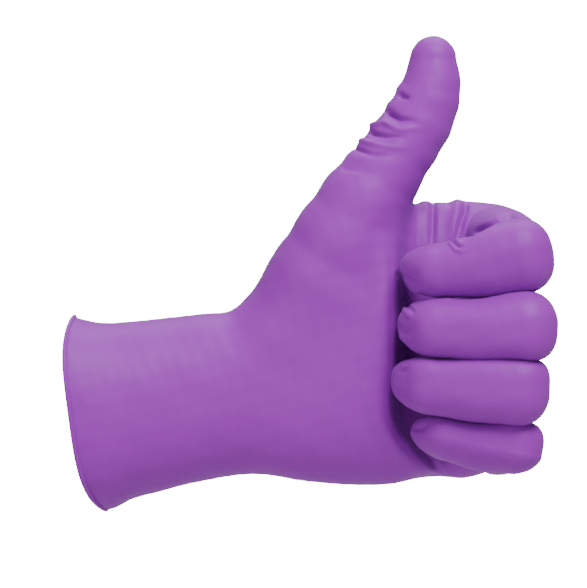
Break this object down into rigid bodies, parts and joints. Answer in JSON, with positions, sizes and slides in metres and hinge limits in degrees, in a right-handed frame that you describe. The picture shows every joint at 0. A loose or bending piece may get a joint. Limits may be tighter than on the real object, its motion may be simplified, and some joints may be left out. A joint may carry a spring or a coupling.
{
  "type": "disposable glove",
  "caption": "Thin disposable nitrile glove with a rolled cuff bead, in the shape of a left hand's thumbs-up fist; wrist, fingers and thumb bend.",
  "frame": {"origin": "centre of the cuff's mouth, where the wearer's forearm goes in", "axes": "+X from the cuff towards the knuckles, +Z towards the thumb, the palm faces -Y"},
  "size_m": [0.1438, 0.0721, 0.1368],
  "materials": {
    "nitrile_film": "soft matte moulded film",
    "nitrile_bead": "soft matte rolled edge"
  },
  "bodies": {
    "cuff": {"cuff_bead": "nitrile_bead", "cuff_sleeve": "nitrile_film"},
    "hand": {"wrist_flex_film": "nitrile_film", "hand_film": "nitrile_film"},
    "thumb_base": {"thumb_web_film": "nitrile_film"},
    "thumb_shaft": {"thumb_shaft_film": "nitrile_film"},
    "thumb_tip": {"thumb_end_joint_film": "nitrile_film", "thumb_tip_film": "nitrile_film"},
    "index_lower": {"index_knuckle_film": "nitrile_film", "index_lower_film": "nitrile_film"},
    "index_middle": {"index_middle_joint_film": "nitrile_film", "index_middle_film": "nitrile_film"},
    "index_tip": {"index_end_joint_film": "nitrile_film", "index_tip_film": "nitrile_film"},
    "middle_lower": {"middle_knuckle_film": "nitrile_film", "middle_lower_film": "nitrile_film"},
    "middle_middle": {"middle_middle_joint_film": "nitrile_film", "middle_middle_film": "nitrile_film"},
    "middle_tip": {"middle_end_joint_film": "nitrile_film", "middle_tip_film": "nitrile_film"},
    "ring_lower": {"ring_knuckle_film": "nitrile_film", "ring_lower_film": "nitrile_film"},
    "ring_middle": {"ring_middle_joint_film": "nitrile_film", "ring_middle_film": "nitrile_film"},
    "ring_tip": {"ring_end_joint_film": "nitrile_film", "ring_tip_film": "nitrile_film"},
    "little_lower": {"little_knuckle_film": "nitrile_film", "little_lower_film": "nitrile_film"},
    "little_middle": {"little_middle_joint_film": "nitrile_film", "little_middle_film": "nitrile_film"},
    "little_tip": {"little_end_joint_film": "nitrile_film", "little_tip_film": "nitrile_film"}
  },
  "joints": [
    {"name": "wrist_bend", "type": "hinge", "parent": "cuff", "child": "hand", "pos_m": [0.0457, 0, 0.0061], "axis": [0, 0, 1], "range_deg": [-40, 40], "deforming": ["wrist_flex_film"]},
    {"name": "thumb_swing", "type": "hinge", "parent": "hand", "child": "thumb_base", "pos_m": [0.07453, -0.009, 0.05584], "axis": [0.8443, 0, -0.5358], "range_deg": [-8, 25], "deforming": ["thumb_web_film"]},
    {"name": "thumb_knuckle_bend", "type": "hinge", "parent": "thumb_base", "child": "thumb_shaft", "pos_m": [0.07453, -0.009, 0.05584], "axis": [0, 1, 0], "range_deg": [-8, 15], "deforming": ["thumb_web_film"]},
    {"name": "thumb_end_bend", "type": "hinge", "parent": "thumb_shaft", "child": "thumb_tip", "pos_m": [0.09384, -0.009, 0.0811], "axis": [0, 1, 0], "range_deg": [0, 50], "deforming": ["thumb_end_joint_film"]},
    {"name": "index_root_bend", "type": "hinge", "parent": "hand", "child": "index_lower", "pos_m": [0.1179, 0.003, 0.05], "axis": [-0.1848, -0.141, 0.9726], "range_deg": [0, 75], "deforming": ["index_knuckle_film"]},
    {"name": "index_middle_bend", "type": "hinge", "parent": "index_lower", "child": "index_middle", "pos_m": [0.12525, -0.03609, 0.04573], "axis": [-0.1848, -0.141, 0.9726], "range_deg": [0, 100], "deforming": ["index_middle_joint_film"]},
    {"name": "index_end_bend", "type": "hinge", "parent": "index_middle", "child": "index_tip", "pos_m": [0.10197, -0.03165, 0.04195], "axis": [-0.1848, -0.141, 0.9726], "range_deg": [0, 45], "deforming": ["index_end_joint_film"]},
    {"name": "middle_root_bend", "type": "hinge", "parent": "hand", "child": "middle_lower", "pos_m": [0.1188, 0.0034, 0.0264], "axis": [0.03, -0.03, 0.9991], "range_deg": [0, 75], "deforming": ["middle_knuckle_film"]},
    {"name": "middle_middle_bend", "type": "hinge", "parent": "middle_lower", "child": "middle_middle", "pos_m": [0.12616, -0.03843, 0.02492], "axis": [0.03, -0.03, 0.9991], "range_deg": [0, 100], "deforming": ["middle_middle_joint_film"]},
    {"name": "middle_end_bend", "type": "hinge", "parent": "middle_middle", "child": "middle_tip", "pos_m": [0.10155, -0.0341, 0.02579], "axis": [0.03, -0.03, 0.9991], "range_deg": [0, 45], "deforming": ["middle_end_joint_film"]},
    {"name": "ring_root_bend", "type": "hinge", "parent": "hand", "child": "ring_lower", "pos_m": [0.1155, 0.0026, 0.0078], "axis": [0.0748, -0.012, 0.9971], "range_deg": [0, 73], "deforming": ["ring_knuckle_film"]},
    {"name": "ring_middle_bend", "type": "hinge", "parent": "ring_lower", "child": "ring_middle", "pos_m": [0.12378, -0.03652, 0.00671], "axis": [0.0748, -0.012, 0.9971], "range_deg": [0, 100], "deforming": ["ring_middle_joint_film"]},
    {"name": "ring_end_bend", "type": "hinge", "parent": "ring_middle", "child": "ring_tip", "pos_m": [0.09965, -0.0327, 0.00856], "axis": [0.0748, -0.012, 0.9971], "range_deg": [0, 45], "deforming": ["ring_end_joint_film"]},
    {"name": "little_root_bend", "type": "hinge", "parent": "hand", "child": "little_lower", "pos_m": [0.1143, 0.0006, -0.0102], "axis": [0.2054, 0.0362, 0.978], "range_deg": [0, 69], "deforming": ["little_knuckle_film"]},
    {"name": "little_middle_bend", "type": "hinge", "parent": "little_lower", "child": "little_middle", "pos_m": [0.12332, -0.03113, -0.01092], "axis": [0.2054, 0.0362, 0.978], "range_deg": [0, 100], "deforming": ["little_middle_joint_film"]},
    {"name": "little_end_bend", "type": "hinge", "parent": "little_middle", "child": "little_tip", "pos_m": [0.10437, -0.02869, -0.00703], "axis": [0.2054, 0.0362, 0.978], "range_deg": [0, 45], "deforming": ["little_end_joint_film"]}
  ],
  "couplings": [
    {"joint": "index_end_bend", "follows": "index_middle_bend", "ratio": 0.45},
    {"joint": "middle_end_bend", "follows": "middle_middle_bend", "ratio": 0.45},
    {"joint": "ring_end_bend", "follows": "ring_middle_bend", "ratio": 0.45},
    {"joint": "little_end_bend", "follows": "little_middle_bend", "ratio": 0.45}
  ]
}
